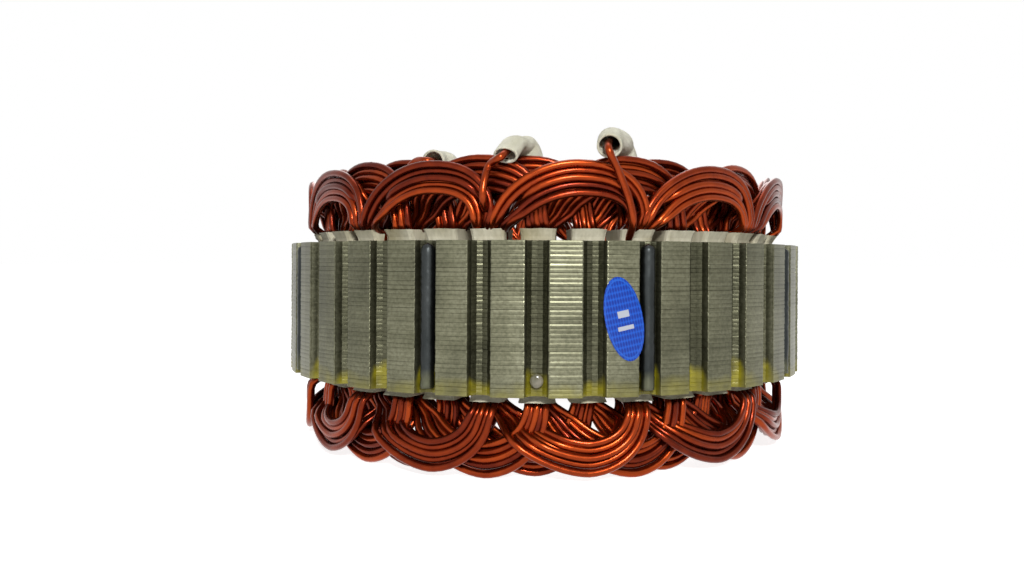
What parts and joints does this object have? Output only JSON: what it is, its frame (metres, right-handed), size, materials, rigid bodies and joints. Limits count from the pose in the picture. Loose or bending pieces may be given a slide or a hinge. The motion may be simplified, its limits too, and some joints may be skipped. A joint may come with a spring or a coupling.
{
  "type": "wound alternator stator",
  "caption": "Welded ring of notched steel laminations with paper-lined slots, an interleaved copper wave winding and sleeved leads.",
  "frame": {"origin": "centre of the rotor bore, halfway along the lamination stack", "axes": "+Z is the stator axis, towards the end with the three leads; -Y points at the slot that faces the picture's camera; +X is to its right"},
  "size_m": [0.141, 0.1412, 0.0775],
  "materials": {
    "laminations": "satin",
    "weld_metal": "polished",
    "slot_paper": "matte",
    "slot_wedge": "matte",
    "enamelled_copper": "gloss",
    "sleeve_braid": "matte",
    "label_film": "gloss"
  },
  "bodies": {
    "root": {"lamination_stack": "laminations", "weld_bead_1": "weld_metal", "weld_bead_2": "weld_metal", "weld_bead_3": "weld_metal", "weld_bead_4": "weld_metal", "weld_bead_5": "weld_metal", "weld_bead_6": "weld_metal", "weld_bead_7": "weld_metal", "weld_bead_8": "weld_metal", "weld_bead_9": "weld_metal", "slot_liner_01": "slot_paper", "slot_liner_02": "slot_paper", "slot_liner_03": "slot_paper", "slot_liner_04": "slot_paper", "slot_liner_05": "slot_paper", "slot_liner_06": "slot_paper", "slot_liner_07": "slot_paper", "slot_liner_08": "slot_paper", "slot_liner_09": "slot_paper", "slot_liner_10": "slot_paper", "slot_liner_11": "slot_paper", "slot_liner_12": "slot_paper", "slot_liner_13": "slot_paper", "slot_liner_14": "slot_paper", "slot_liner_15": "slot_paper", "slot_liner_16": "slot_paper", "slot_liner_17": "slot_paper", "slot_liner_18": "slot_paper", "slot_liner_19": "slot_paper", "slot_liner_20": "slot_paper", "slot_liner_21": "slot_paper", "slot_liner_22": "slot_paper", "slot_liner_23": "slot_paper", "slot_liner_24": "slot_paper", "slot_liner_25": "slot_paper", "slot_liner_26": "slot_paper", "slot_liner_27": "slot_paper", "slot_liner_28": "slot_paper", "slot_liner_29": "slot_paper", "slot_liner_30": "slot_paper", "slot_liner_31": "slot_paper", "slot_liner_32": "slot_paper", "slot_liner_33": "slot_paper", "slot_liner_34": "slot_paper", "slot_liner_35": "slot_paper", "slot_liner_36": "slot_paper", "slot_wedges": "slot_wedge", "phase_winding_outer": "enamelled_copper", "phase_winding_middle": "enamelled_copper", "phase_winding_inner": "enamelled_copper", "lead_wire_1": "enamelled_copper", "lead_sleeve_1": "sleeve_braid", "lead_wire_2": "enamelled_copper", "lead_sleeve_2": "sleeve_braid", "lead_wire_3": "enamelled_copper", "lead_sleeve_3": "sleeve_braid", "oval_label": "label_film"}
  },
  "joints": []
}
